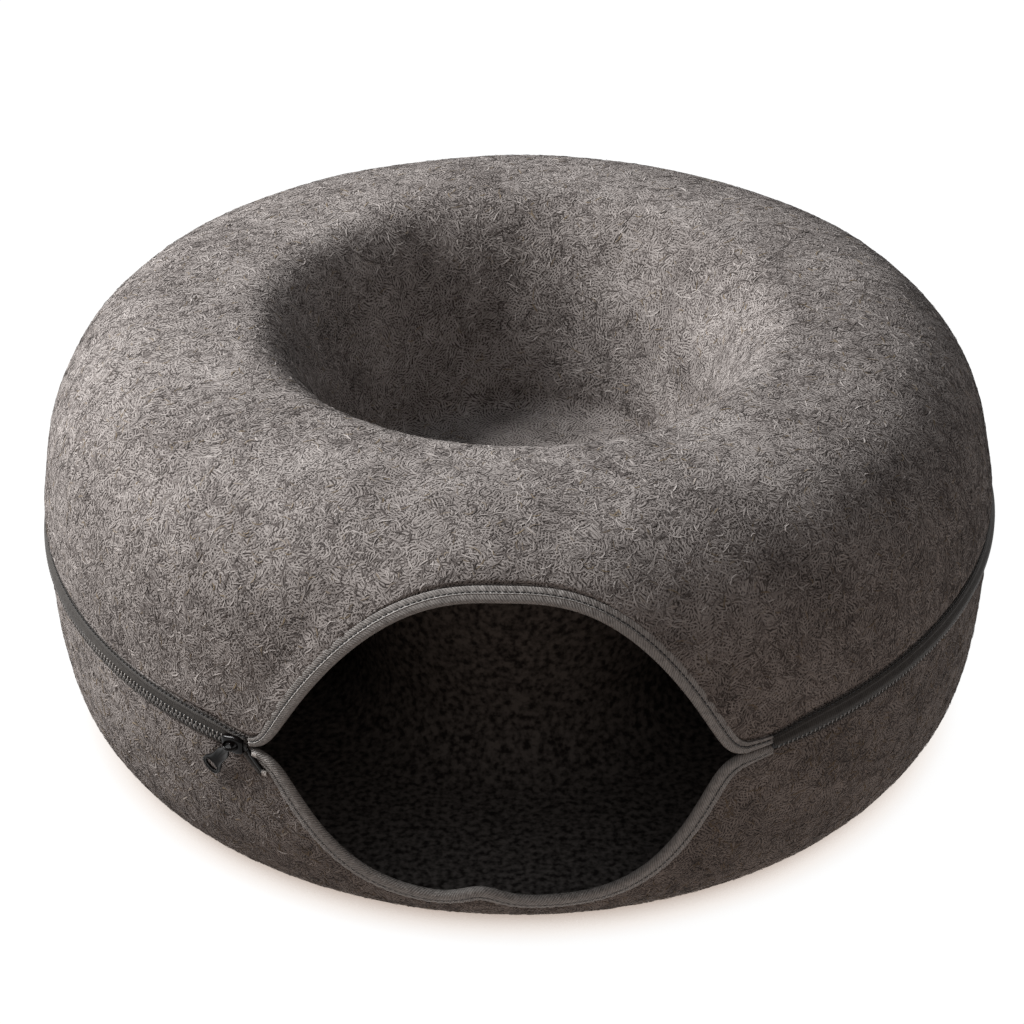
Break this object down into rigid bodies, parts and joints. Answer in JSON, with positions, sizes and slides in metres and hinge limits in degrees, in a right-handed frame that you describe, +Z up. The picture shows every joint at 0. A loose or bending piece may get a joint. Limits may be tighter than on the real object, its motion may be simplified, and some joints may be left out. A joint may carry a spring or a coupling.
{
  "type": "cat tunnel bed",
  "caption": "Round felt cat tunnel bed: a ring tunnel round a sunken top bed, zipped round its middle, with a tape-bound entrance at the front.",
  "frame": {"origin": "centre of the bed's outline, on the surface that it stands on", "axes": "+Z up; the entrance faces -Y; +X is to the right of someone who looks in at the entrance"},
  "size_m": [0.601, 0.5911, 0.2639],
  "materials": {
    "felt": "marled grey needle-punched felt",
    "binding_tape": "woven grey binding tape",
    "zip_tape": "woven grey polyester tape",
    "zip_coil": "grey nylon coil",
    "slider": "black painted zinc",
    "zip_end": "black tape end"
  },
  "bodies": {
    "root": {"upper_shell": "felt", "lower_shell": "felt", "upper_binding": "binding_tape", "lower_binding": "binding_tape", "zip_tape_upper": "zip_tape", "zip_tape_lower": "zip_tape", "zip_coil": "zip_coil", "zip_slider": "slider", "zip_pull": "slider", "zip_tail": "zip_end"}
  },
  "joints": []
}
